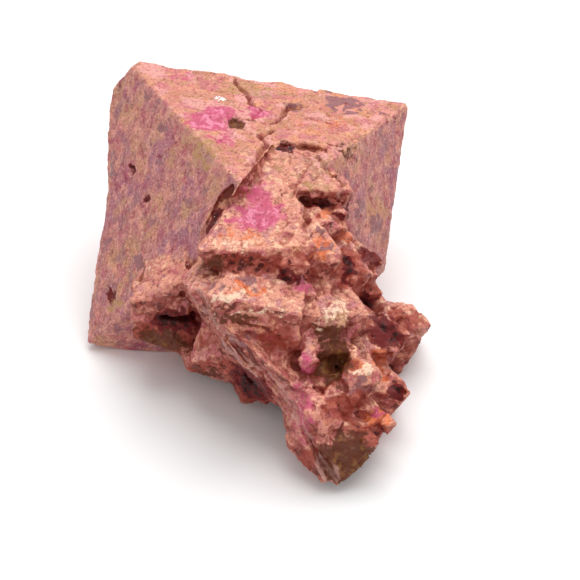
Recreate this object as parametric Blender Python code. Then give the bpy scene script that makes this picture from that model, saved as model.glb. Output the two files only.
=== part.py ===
"""A spinel crystal group: a large octahedron with a stepped arm of smaller ones grown out of its front.

The group is one solid. It is modelled upright in a growth frame, with +X to its right, -Y out of its front
and +Z up, in millimetres. It is then tipped back onto its broken base, as it lies on a table.
"""

import math
from dataclasses import dataclass

import bmesh
import bpy
from mathutils import Matrix, Vector

MM = 0.001

# Driving dimensions, in millimetres and degrees.
HOST_REACH = 24.5  # centre of the large octahedron to each of its six corners
HOST_CENTRE = (-5.0, 0.0, 8.1)
HOST_ROLL = 36.8  # turns the square outline about the axis that points out of the front
HOST_YAW = 5.3
HOST_PITCH = -1.3
HOST_BEVEL = 0.45
FACE_CUTS = 3  # divides the sides of the host's triangles, so that no face of the fused solid is large
ARM_BEVEL = 0.16
ARM_LEAN = 7.0  # turns the arm's lattice, so that its lower left sides show from the front
REST_TILT = 40.0  # how far the group lies back from its growth frame
FLOOR_LEVEL = -4.4  # height of the table in the tipped frame, which cuts the base flat
REST_SHIFT = (3.94, 3.61)  # moves the middle of the tipped group over the origin
TABLE_SIZE = 200.0
FUSE_DISTANCE = 0.0005  # corners closer than this are one corner
BEVEL_FUSE = 0.1  # share of a bevel's width within which its corners are one corner
BLANK_SIDE = 4.0  # side of the cube that an octahedron is cut from, in reaches of the octahedron

# The faces of an octahedron, by the signs of their normal on the crystal's own three axes.
# An arm crystal has its axes to the left front, the right front and up.
FACES = [(a, b, c) for a in (1, -1) for b in (1, -1) for c in (1, -1)]
UNDERSIDE = (-1, -1, -1)  # the face of an arm crystal that is parallel to its tread

# Planes that bound the crystals, in the growth frame: a point on the plane and the direction cut away.
CORNER_CHIPS = (
    ((-17.6, 0, 27.7), (-0.64, 0, 0.77)),
    ((-20.4, 0, 25.6), (-0.93, 0, 0.36)),
    ((-24.6, 0, -6.0), (-0.70, 0, -0.71)),
    ((14.0, 2, 22.8), (0.80, 0, 0.60)),
    ((11.9, 0, 2.2), (0.50, 0.1, -0.86)),
)


@dataclass(frozen=True)
class Step:
    """An octahedron of the arm, placed by its lip, the front edge where its tread meets its riser.

    lip is the middle of that edge, width its length, and height the distance from the tread to the
    underside, or 0 for a whole octahedron. turn is a small rotation about X, Y and Z, in degrees.
    """

    name: str
    lip: tuple
    width: float
    height: float = 0.0
    turn: tuple = (0.0, 0.0, 0.0)
    clips: tuple = ()


@dataclass(frozen=True)
class Blade:
    """An octahedron drawn out between two of its corners.

    breadth is its size across that line, seen from the front, and depth its size from front to back.
    waist is where it is widest, as a share of the way from start to end. blunt is the share of the
    way to each corner that is broken off flat.
    """

    name: str
    start: tuple
    end: tuple
    breadth: float
    depth: float
    waist: float = 0.5
    blunt: float = 0.0


@dataclass(frozen=True)
class Break:
    """A flat-sided region broken out of the large octahedron, bounded by planes."""

    name: str
    planes: tuple


# Planes that bound single crystals of the arm.
UNDER_TOP_FACE = ((-2.1, -15.1, 14.8), (0.169, -0.545, 0.821))
CROWN_SPLIT = ((1.6, -22.0, 4.0), (1.0, 0.0, 0.1))
STEP_1_TOP = ((0.0, -15.0, 14.8), (-0.1, 0.4, 0.9))
BLOCK_END = ((1.5, -24.0, -2.4), (1.0, 0.0, -0.14))
FLANK_SPLIT = ((3.4, -21.0, 0.0), (1.0, 0.0, 0.0))
SHELF_SIDE = ((-18.1, -13.0, -1.2), (-1.0, 0.0, -0.05))
SHELF_BASE = ((-18.0, -12.5, -5.4), (-0.35, 0.0, -0.94))
TOE_BASE = ((-9.6, -12.0, -9.9), (-0.33, 0.0, -0.94))
LUMP_BASE = ((-4.0, -12.0, -13.2), (0.0, 0.0, -1.0))
SPUR_TOP = ((12.7, -8.0, -1.2), (0.15, 0.2, 0.97))

STEPS = [
    # The crown under the large crystal's apex, and the long flank that shows beside it.
    Step("crown", (-2.1, -22.3, 4.2), 16.2, 2.5, (0, 1, 0), (CROWN_SPLIT, UNDER_TOP_FACE)),
    Step("flank_1", (-2.9, -18.9, 0.9), 18.0),
    Step("flank_2", (-3.3, -20.3, 0.4), 16.4, 0, (0, 1, 0)),
    Step("flank_3", (-3.9, -21.7, -0.2), 14.4, 0, (0, 2, 0), (FLANK_SPLIT,)),
    Step("block", (-2.3, -24.2, -1.9), 14.0, 7.6, (0, 12, 0), (BLOCK_END,)),
    Step("block_top", (-5.6, -23.3, -1.0), 7.4, 2.0, (4, 6, 4)),
    # Steps down the right side of the crown.
    Step("step_1", (3.1, -17.0, 11.1), 5.5, 1.2, (0, 1, 0), (STEP_1_TOP,)),
    Step("step_2", (4.6, -13.3, 5.7), 6.0, 3.2, (2, 1, 3)),
    Step("step_2_top", (3.7, -13.9, 7.6), 4.2, 0, (-3, 0, -4)),
    Step("step_3", (2.9, -20.6, 3.7), 5.6, 0, (-2, 4, 0)),
    Step("step_4", (5.0, -17.6, 1.0), 5.4, 0, (0, 2, -3)),
    Step("step_5", (4.2, -20.3, -2.6), 9.6, 0, (0, 2, -3)),
    Step("step_5_front", (3.6, -22.0, -3.0), 5.6, 0, (0, 9, 0)),
    Step("step_6", (8.0, -11.0, 3.1), 4.4, 3.0, (3, -4, 0)),
    Step("step_6_low", (7.9, -11.4, 1.7), 4.3, 0, (-3, 3, 5)),
    Step("step_7", (8.4, -10.6, -0.2), 5.2, 0, (0, 4, 6)),
    # The lower arm, down to its tip.
    Step("shank", (7.2, -18.3, -11.3), 12.6),
    Step("shank_side", (8.0, -17.0, -6.6), 8.8, 0, (0, 0, 3)),
    Step("saddle", (4.2, -20.6, -6.4), 6.8, 0, (3, 5, 2)),
    Step("pocket_floor", (4.6, -20.6, -9.2), 7.4, 0, (-4, 3, -3)),
    Step("knuckle", (7.8, -22.6, -9.3), 4.2, 0, (0, -4, 5)),
    Step("knuckle_left", (5.6, -22.3, -11.6), 3.6, 0, (4, 6, -4)),
    Step("tip_step", (8.3, -21.2, -14.6), 6.0, 0, (0, -3, 3)),
    Step("tip", (6.0, -23.0, -16.4), 6.6),
    Step("heel", (3.4, -20.6, -15.9), 6.8, 0, (4, 0, -4)),
    Step("heel_top", (2.4, -20.0, -12.4), 6.4, 0, (2, 0, 3)),
    # Crystals inside the arm, which leave no gap between the ones around them.
    Step("core_top", (4.6, -17.6, 2.0), 9.0),
    Step("core_side", (6.2, -12.6, 1.6), 6.0),
    Step("core_low", (5.6, -19.2, -8.6), 9.0),
    Step("core_tip", (6.0, -21.3, -13.0), 6.4),
    Step("core_mid", (0.4, -17.4, -5.6), 9.0),
    Step("core_right", (7.8, -8.4, 1.4), 4.8),
    Step("core_left", (-2.4, -15.2, -7.8), 7.4),
    Step("core_heel", (0.9, -17.2, -9.6), 5.2),
    # The spur at the right, and the growths under the left.
    Step("spur", (12.6, -9.6, -4.3), 7.9, 0, (0, -4, 0), (SPUR_TOP,)),
    Step("spur_root", (10.0, -8.6, -3.4), 6.0, 0, (5, 4, 8)),
    Step("shelf", (-14.0, -14.8, -1.0), 8.2, 2.4, (0, -2, 0)),
    Step("shelf_low", (-14.6, -13.4, -3.6), 13.0, 0, (0, 6, 4), (SHELF_SIDE, SHELF_BASE)),
    Step("toe", (-8.4, -13.6, -8.2), 7.2, 0, (0, 12, 0), (TOE_BASE,)),
    Step("lump", (-3.4, -13.4, -9.8), 6.4, 0, (8, 14, 10), (LUMP_BASE,)),
]

BLADES = [
    # Long crystals along the left of the lower arm.
    Blade("ridge", (-11.6, -18.4, 0.2), (-0.6, -17.8, -13.0), 2.2, 9.0, 0.5, 0.15),
    Blade("rib_1", (-7.6, -22.0, -3.2), (0.9, -20.9, -10.8), 2.2, 6.4, 0.5, 0.3),
    Blade("rib_2", (0.6, -20.8, -9.0), (4.9, -21.8, -18.9), 3.6, 6.0, 0.5, 0.3),
    Blade("rib_3", (-0.6, -17.8, -12.0), (3.9, -20.4, -20.8), 4.4, 7.0, 0.5, 0.3),
    Blade("rib_4", (1.9, -21.8, -10.4), (4.4, -23.2, -16.8), 2.4, 4.0, 0.5, 0.3),
    Blade("rib_5", (3.2, -22.0, -11.2), (5.2, -22.6, -15.0), 1.8, 3.0, 0.5, 0.25),
    Blade("peg", (2.2, -22.0, -6.4), (1.8, -20.4, -10.2), 2.4, 3.6, 0.3),
    Blade("spur_crystal_1", (9.4, -10.9, -2.6), (12.6, -10.4, -6.6), 1.8, 3.4),
    Blade("spur_crystal_2", (11.2, -11.0, -2.4), (12.2, -10.4, -7.0), 1.5, 3.4),
    Blade("spur_crystal_3", (9.8, -10.8, -6.4), (13.4, -10.6, -5.0), 1.7, 3.4),
]

BREAKS = [
    # The apex gives way to the crown's tread, right of the crack.
    Break(
        "apex",
        (
            ((-2.1, -22.0, 4.0), (-0.081, 0.770, -0.630)),
            ((-2.9, -17.0, 15.0), (-0.82, 0, 0.57)),
            ((3.2, -12.0, 15.0), (0.87, 0, 0.49)),
        ),
    ),
    Break(
        "right_recess",
        (
            ((5.0, -13.0, 5.4), (-0.081, 0.770, -0.630)),
            ((0.8, -16.0, 9.0), (-1, 0, 0)),
            ((3.0, -16.0, 10.6), (0, -0.3, 0.95)),
            ((6.6, -12.0, 9.6), (0.9, 0, 0.42)),
        ),
    ),
]

CRACKS = [
    # The crack along the crown's left edge, and the fissures and pits of the top face.
    Blade("crack", (-3.2, -16.0, 16.2), (-10.6, -19.6, 4.2), 2.3, 10.0, 0.82),
    Blade("fissure_1", (-7.0, -1.4, 26.0), (-3.0, -8.2, 20.6), 0.9, 1.4),
    Blade("fissure_2", (-6.4, -8.6, 19.9), (0.2, -7.6, 20.2), 0.8, 1.4),
    Blade("fissure_3", (-1.4, -8.0, 20.2), (1.4, -4.2, 22.8), 0.6, 1.0),
    Blade("orange_pit", (-7.9, -11.4, 18.3), (-3.2, -9.6, 19.2), 1.3, 2.2),
    Blade("ledge_recess", (-2.0, -13.4, 16.6), (5.8, -10.8, 15.7), 2.2, 3.0),
    Blade("top_notch_1", (-6.6, 0.8, 25.6), (-5.2, 1.6, 25.6), 1.0, 6.0),
    Blade("top_notch_2", (1.0, 1.0, 24.6), (3.2, 1.6, 24.6), 1.1, 6.0),
]

HOLLOWS = [
    # Dark gaps between the crystals of the arm.
    Blade("flank_gap_1", (-5.4, -21.6, -6.6), (-2.6, -20.4, -9.2), 1.0, 4.0),
    Blade("flank_gap_2", (-4.2, -19.6, -8.9), (-0.2, -18.6, -12.3), 1.3, 5.0),
    Blade("step_gap", (5.5, -15.4, 4.2), (7.2, -13.4, 0.8), 1.5, 5.0),
    Blade("spur_gap", (8.8, -10.6, -1.4), (11.4, -10.4, -6.4), 1.8, 4.0),
    Blade("pocket", (3.4, -22.6, -6.6), (5.6, -21.6, -10.4), 1.8, 3.0),
    Blade("shank_gap", (11.2, -17.4, -10.6), (13.4, -16.4, -11.8), 1.1, 3.0),
    Blade("shelf_cavity", (-16.6, -15.0, -2.7), (-9.6, -15.6, -4.4), 2.0, 7.0, 0.7),
    Blade("tip_crack", (3.4, -22.6, -17.8), (5.2, -21.6, -19.9), 0.7, 3.0),
    Blade("crown_crack", (1.3, -22.8, 7.2), (1.8, -22.0, 2.2), 0.5, 4.0),
]


def lattice_matrix(lattice):
    """The rotation from a crystal's own axes to the growth frame, for the host or the arm."""
    if lattice == "host":
        upright = Matrix(((1, 0, 0), (0, 0, -1), (0, 1, 0)))
        roll = Matrix.Rotation(math.radians(HOST_ROLL), 3, Vector((0, -1, 0)))
        pitch = Matrix.Rotation(math.radians(HOST_PITCH), 3, "X")
        yaw = Matrix.Rotation(math.radians(HOST_YAW), 3, "Z")
        return yaw @ pitch @ roll @ upright
    half = math.sqrt(0.5)
    upright = Matrix(((-half, half, 0), (-half, -half, 0), (0, 0, 1)))
    edge_up_left = Vector((-math.sqrt(1 / 3), 0, math.sqrt(2 / 3)))
    return Matrix.Rotation(math.radians(ARM_LEAN), 3, edge_up_left) @ upright


def cut_with_plane(bm, point, normal):
    """Keeps what lies behind a plane, and closes the cut with one flat face."""
    geometry = bm.verts[:] + bm.edges[:] + bm.faces[:]
    cut = bmesh.ops.bisect_plane(
        bm, geom=geometry, plane_co=point, plane_no=normal, clear_outer=True, dist=FUSE_DISTANCE
    )
    edges = [part for part in cut["geom_cut"] if isinstance(part, bmesh.types.BMEdge)]
    if edges:
        bmesh.ops.edgenet_fill(bm, edges=edges)
    bmesh.ops.remove_doubles(bm, verts=bm.verts, dist=FUSE_DISTANCE)


def octahedron(reach, underside=None):
    """An octahedron cut from a cube by its eight faces, with its underside at its own distance."""
    bm = bmesh.new()
    bmesh.ops.create_cube(bm, size=BLANK_SIDE * reach)
    for face in FACES:
        normal = Vector(face).normalized()
        distance = reach / math.sqrt(3)
        if face == UNDERSIDE and underside is not None:
            distance = underside
        cut_with_plane(bm, normal * distance, normal)
    return bm


def bevel_edges(bm, width):
    """Takes the sharpness off every edge with one narrow flat."""
    fuse_within = width * BEVEL_FUSE
    bm.normal_update()
    bmesh.ops.bevel(bm, geom=bm.edges[:], offset=width, segments=1, affect="EDGES", clamp_overlap=True)
    bmesh.ops.remove_doubles(bm, verts=bm.verts, dist=fuse_within)
    bmesh.ops.dissolve_degenerate(bm, edges=bm.edges, dist=fuse_within)


def helper(name, bm, collection, parent):
    """A hidden shape, in growth-frame millimetres, that a Boolean joins or cuts."""
    bm.normal_update()
    bmesh.ops.recalc_face_normals(bm, faces=bm.faces)
    if bm.calc_volume(signed=True) < 0:
        bmesh.ops.reverse_faces(bm, faces=bm.faces)
    bmesh.ops.triangulate(bm, faces=bm.faces)
    bmesh.ops.scale(bm, verts=bm.verts, vec=(MM, MM, MM))
    mesh = bpy.data.meshes.new(name)
    bm.to_mesh(mesh)
    bm.free()
    obj = bpy.data.objects.new(name, mesh)
    obj.hide_render = True
    obj.display_type = "WIRE"
    obj.parent = parent
    collection.objects.link(obj)
    return obj


def small_turn(angles):
    """The rotation about X, then Y, then Z, by angles in degrees."""
    around_x, around_y, around_z = [math.radians(angle) for angle in angles]
    turn_x = Matrix.Rotation(around_x, 3, "X")
    turn_y = Matrix.Rotation(around_y, 3, "Y")
    turn_z = Matrix.Rotation(around_z, 3, "Z")
    return turn_z @ turn_y @ turn_x


def step_shape(step):
    """One octahedron of the arm."""
    reach = step.width / math.sqrt(2)
    underside = step.height - reach / math.sqrt(3) if step.height else None
    bm = octahedron(reach, underside)
    lip_to_centre = Vector((-reach / 2, -reach / 2, 0))
    bmesh.ops.translate(bm, verts=bm.verts, vec=lip_to_centre)
    rotation = small_turn(step.turn) @ lattice_matrix("arm")
    bm.transform(Matrix.Translation(Vector(step.lip)) @ rotation.to_4x4())
    for point, normal in step.clips:
        cut_with_plane(bm, Vector(point), Vector(normal).normalized())
    bevel_edges(bm, ARM_BEVEL)
    return bm


def blade_shape(blade):
    """A drawn-out octahedron."""
    start = Vector(blade.start)
    end = Vector(blade.end)
    length = (end - start).length
    bm = octahedron(1.0)
    middle_corners = [vert for vert in bm.verts if abs(vert.co.x) < FUSE_DISTANCE]
    for vert in middle_corners:
        vert.co.x = 2 * blade.waist - 1
    whole = 1.0 - blade.blunt
    if blade.blunt:
        cut_with_plane(bm, Vector((whole, 0, 0)), Vector((1, 0, 0)))
        cut_with_plane(bm, Vector((-whole, 0, 0)), Vector((-1, 0, 0)))
    bm.transform(Matrix.Diagonal((length / (2 * whole), blade.depth / 2, blade.breadth / 2, 1)))
    along = (end - start).normalized()
    across = along.cross(Vector((0, -1, 0))).normalized()
    outward = across.cross(along)
    rotation = Matrix((along, outward, across)).transposed()
    bm.transform(Matrix.Translation((start + end) / 2) @ rotation.to_4x4())
    return bm


def break_shape(region):
    """A flat-sided region in front of the large octahedron."""
    bm = bmesh.new()
    bmesh.ops.create_cube(bm, size=BLANK_SIDE * HOST_REACH)
    for point, normal in region.planes:
        cut_with_plane(bm, Vector(point), Vector(normal).normalized())
    return bm


def host_shape():
    """The large octahedron, with its worn and broken corners."""
    bm = octahedron(HOST_REACH)
    bm.transform(Matrix.Translation(Vector(HOST_CENTRE)) @ lattice_matrix("host").to_4x4())
    for point, normal in CORNER_CHIPS:
        cut_with_plane(bm, Vector(point), Vector(normal).normalized())
    bevel_edges(bm, HOST_BEVEL)
    bmesh.ops.triangulate(bm, faces=bm.faces)
    bmesh.ops.subdivide_edges(bm, edges=bm.edges[:], cuts=FACE_CUTS, use_grid_fill=True)
    return bm


def spinel_material():
    """Salmon pink spinel under a thin tan crust."""
    material = bpy.data.materials.new("crusted_pink_spinel")
    material.use_nodes = True
    shader = material.node_tree.nodes["Principled BSDF"]
    shader.inputs["Base Color"].default_value = (0.52, 0.26, 0.20, 1.0)
    shader.inputs["Roughness"].default_value = 0.62
    shader.inputs["Metallic"].default_value = 0.0
    return material


def new_collection(name):
    """A collection of helpers, linked to the scene."""
    collection = bpy.data.collections.new(name)
    bpy.context.scene.collection.children.link(collection)
    return collection


def boolean_each(target, operation, collection):
    """Joins or cuts the target with the shapes in a collection, one after another."""
    for shape in collection.objects:
        modifier = target.modifiers.new(shape.name, "BOOLEAN")
        modifier.operation = operation
        modifier.object = shape
        modifier.solver = "EXACT"


def connected_faces(first):
    """All the faces that can be reached from one face across edges with a face on each side alone."""
    reached = {first}
    waiting = [first]
    while waiting:
        face = waiting.pop()
        for edge in face.edges:
            for neighbour in edge.link_faces if edge.is_manifold else ():
                if neighbour not in reached:
                    reached.add(neighbour)
                    waiting.append(neighbour)
    return reached


def close_sealed_gaps(bm):
    """Keeps the outer surface alone, so that gaps sealed between crystals become solid."""
    left = set(bm.faces)
    shells = []
    while left:
        shell = connected_faces(next(iter(left)))
        shells.append(shell)
        left -= shell
    outer = max(shells, key=len)
    inner = [face for face in bm.faces if face not in outer]
    bmesh.ops.delete(bm, geom=inner, context="FACES")


def fuse(group):
    """Replaces the group's mesh and Booleans with the one solid that they make."""
    bpy.context.view_layer.update()
    evaluated = group.evaluated_get(bpy.context.evaluated_depsgraph_get())
    bm = bmesh.new()
    bm.from_mesh(evaluated.to_mesh())
    bmesh.ops.triangulate(bm, faces=bm.faces, ngon_method="EAR_CLIP")
    close_sealed_gaps(bm)
    evaluated.to_mesh_clear()
    group.modifiers.clear()
    bm.to_mesh(group.data)
    bm.free()


def table_shape():
    """The space under the table, which cuts the base flat, in the tipped frame's millimetres."""
    bm = bmesh.new()
    bmesh.ops.create_cube(bm, size=TABLE_SIZE)
    bmesh.ops.translate(bm, verts=bm.verts, vec=(0, 0, FLOOR_LEVEL - TABLE_SIZE / 2))
    return bm


def main():
    """Builds the group and lays it on its base."""
    for obj in list(bpy.data.objects):
        bpy.data.objects.remove(obj)
    scene = bpy.context.scene.collection
    table_top = bpy.data.objects.new("table_top", None)
    table_top.location = Vector((*REST_SHIFT, -FLOOR_LEVEL)) * MM
    scene.objects.link(table_top)
    growth_frame = bpy.data.objects.new("growth_frame", None)
    growth_frame.parent = table_top
    growth_frame.rotation_euler.x = math.radians(-REST_TILT)
    scene.objects.link(growth_frame)

    cracks = new_collection("cracks")
    for region in BREAKS:
        helper(region.name, break_shape(region), cracks, growth_frame)
    for blade in CRACKS:
        helper(blade.name, blade_shape(blade), cracks, growth_frame)

    growths = new_collection("growths")
    for step in STEPS:
        helper(step.name, step_shape(step), growths, growth_frame)
    for blade in BLADES:
        helper(blade.name, blade_shape(blade), growths, growth_frame)

    hollows = new_collection("hollows")
    for blade in HOLLOWS:
        helper(blade.name, blade_shape(blade), hollows, growth_frame)
    helper("table", table_shape(), hollows, table_top)

    group = helper("spinel_crystal", host_shape(), scene, growth_frame)
    group.hide_render = False
    group.display_type = "TEXTURED"
    group.data.materials.append(spinel_material())
    boolean_each(group, "DIFFERENCE", cracks)
    boolean_each(group, "UNION", growths)
    boolean_each(group, "DIFFERENCE", hollows)
    fuse(group)


main()
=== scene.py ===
"""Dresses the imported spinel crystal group: its rough crust, its clear pink windows and its druse of grains.

Everything is modelled in the growth frame, in millimetres: +X to the right of the large crystal, -Y out of
its front and +Z up. The group then lies back on its broken base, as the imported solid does.
"""

import logging
import math
from dataclasses import dataclass, field, replace
from enum import Enum

import bmesh
import bpy
import numpy as np
from mathutils import Matrix, Vector, noise
from mathutils.bvhtree import BVHTree


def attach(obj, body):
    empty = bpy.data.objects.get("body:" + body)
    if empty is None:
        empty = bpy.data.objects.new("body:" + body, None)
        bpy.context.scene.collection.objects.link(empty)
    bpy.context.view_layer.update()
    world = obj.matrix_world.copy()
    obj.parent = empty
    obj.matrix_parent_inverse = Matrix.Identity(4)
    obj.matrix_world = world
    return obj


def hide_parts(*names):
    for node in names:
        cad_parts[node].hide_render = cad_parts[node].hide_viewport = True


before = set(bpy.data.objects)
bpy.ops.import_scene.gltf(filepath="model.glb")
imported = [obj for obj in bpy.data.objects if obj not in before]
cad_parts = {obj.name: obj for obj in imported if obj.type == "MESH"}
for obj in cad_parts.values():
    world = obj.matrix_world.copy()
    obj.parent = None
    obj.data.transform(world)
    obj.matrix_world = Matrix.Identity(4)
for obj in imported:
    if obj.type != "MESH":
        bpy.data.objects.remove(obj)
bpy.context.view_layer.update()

LOG = logging.getLogger("spinel")

MM = 0.001
NODE = "spinel_crystal"
BODY = "root"
SEED = 7

# How the growth frame lies in the world.
REST_TILT = math.radians(40.0)
GROWTH_ORIGIN = Vector((3.94, 3.61, 4.4))

# The large octahedron, in the growth frame.
HOST_REACH = 24.5
HOST_CENTRE = Vector((-5.0, 0.0, 8.1))
HOST_ROLL = math.radians(36.8)
HOST_YAW = math.radians(5.3)
HOST_PITCH = math.radians(-1.3)
ARM_LEAN = math.radians(7.0)
UPPER_LEFT_CORNER = np.array((-20.5, 1.0, 18.0))  # a swollen part of the large octahedron's own faces

MERGE_DISTANCE = 1e-4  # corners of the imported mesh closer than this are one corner

Array = np.ndarray
BMesh = bmesh.types.BMesh
Point = tuple[float, float, float]
Span = tuple[float, float]  # where a soft border starts, and where it ends


class Hue(Enum):
    """The colours that the crust takes in spots, each painted as its own attribute of the skin. The maroon
    spots are painted shade in recesses, the cream ones partly painted highlights, and the glints painted
    highlights.
    """

    PINK = "clear_pink"
    MAUVE = "grey_mauve"
    # Painted shade in recesses, cracks and pits.
    MAROON = "deep_maroon_shade"
    OCHRE = "iron_ochre"
    # Pale patches, partly the crust's own colour and partly painted highlights on lips and edges.
    CREAM = "pale_cream_highlight"
    ORANGE = "salmon_orange"
    TAN = "olive_tan"
    BRICK = "brick_red"
    # Painted glints: white specks where small facets would catch the light.
    GLINT = "painted_glints"


class Lattice(Enum):
    """How small crystals stand: in line with the arm, or any way round."""

    ARM = "arm"
    LOOSE = "loose"


@dataclass(frozen=True)
class Spot:
    """A patch of colour on the skin: its middle, its half sizes across and up, and its strength."""

    centre: Point
    across: float
    up: float
    strength: float = 1.0


@dataclass(frozen=True)
class Groove:
    """A fissure or crack in the skin, along a chain of points."""

    points: tuple[Point, ...]
    width: float
    depth: float


@dataclass(frozen=True)
class Pit:
    """A round hollow in the skin, or a lump where the depth is negative."""

    centre: Point
    radius: float
    depth: float


@dataclass(frozen=True)
class Cluster:
    """Small crystals that stand on the skin, within a radius of a point or of a chain of points."""

    path: tuple[Point, ...]
    radius: float
    count: int
    small: float
    large: float
    lattice: Lattice = Lattice.LOOSE
    proud: float = 0.25


@dataclass(frozen=True)
class Splinter:
    """A long six-sided crystal that fills a gap between larger ones."""

    start: Point
    end: Point
    width: float
    taper: float = 0.7


@dataclass(frozen=True)
class Slab:
    """A flat-faced crystal: the smallest convex body round its corners."""

    corners: tuple[Point, ...]


@dataclass(frozen=True)
class Knob:
    """One small crystal that rounds off a larger one."""

    centre: Point
    width: float


@dataclass(frozen=True)
class Striae:
    """Fine parallel growth lines, drawn along a chain of points."""

    path: tuple[Point, ...]
    radius: float


@dataclass(frozen=True)
class Cloud:
    """Cloudy noise: the width of its lumps, how many finer scales it adds, and the part that is read."""

    size: float
    octaves: int
    place: float = 0.0


@dataclass(frozen=True)
class Relief:
    """How rough a kind of face is: the height in millimetres of each scale of its relief."""

    swell: float
    lumps: float
    plates: float
    grain: float
    streaks: float


TOP_RELIEF = Relief(swell=0.18, lumps=0.20, plates=0.05, grain=0.08, streaks=0.0)
SIDE_RELIEF = Relief(swell=0.14, lumps=0.12, plates=0.03, grain=0.08, streaks=0.07)
ARM_RELIEF = Relief(swell=0.10, lumps=0.16, plates=0.10, grain=0.08, streaks=0.0)

SWELL = Cloud(7.0, 2)
LUMPS = Cloud(2.2, 3, 5.0)
GRAIN = Cloud(0.7, 2, 21.0)
STREAKS = Cloud(1.1, 3, 31.0)
GROWTH_LINES = Cloud(0.5, 2, 61.0)
BENT = Cloud(2.4, 2, 11.0)  # bends the borders of plates
RAGGED = Cloud(1.3, 2, 41.0)  # frays fissures and pits
BLOTCHED = Cloud(1.5, 3, 51.0)  # frays spots of colour
PLATES = ((2.6, 3.0, 0.5), (1.2, 9.0, 0.3))  # their width, their place in the noise and how far they bend
STREAK_DRAW, LINE_DRAW = 7.0, 14.0  # how far streaks and growth lines are drawn out
LINE_LEVEL, LINE_CONTRAST = 0.5, 0.9  # the middle height of growth lines and how much it varies

# Soft borders, in shares of the thing's own width or radius.
GROOVE_BORDER = np.array((1.6, 0.2))
FISSURE_SHADE_BORDER = np.array((1.7, 0.5))  # where a fissure's floor takes painted shade
PIT_BORDER = np.array((1.3, 0.3))
LINE_BORDER = np.array((1.0, 0.6))
SPOT_BORDER = (1.6, 0.5)
SPOT_DEPTH = 1.5  # how far a spot reaches into the group, in shares of its larger half size

AXIS_STEPS = (0.0, 2.0, 6.0)  # parts the noise that moves points along each axis
CELL_STEP = 7.3  # parts the heights of neighbouring plates
LEAST_WEIGHT = 0.01  # skin that weighs less gets none of that relief
CHAIN_LEAST = 1e-6  # the length given to a chain of one point
CUT_SNAP = 1e-6  # corners nearer to a cut than this lie on it
RAY_LIFT, RAY_LEAN = 0.12, 1.02  # keep rays from meeting the skin that they start from
FACE_REACH = 0.41  # from the middle of an octahedron to its faces, in shares of its edge


def spots(*rows: tuple[float, ...]) -> tuple[Spot, ...]:
    """Makes spots from rows of a middle, two half sizes and, below full strength or above it, a strength."""
    return tuple(Spot(row[:3], *row[3:]) for row in rows)


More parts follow.
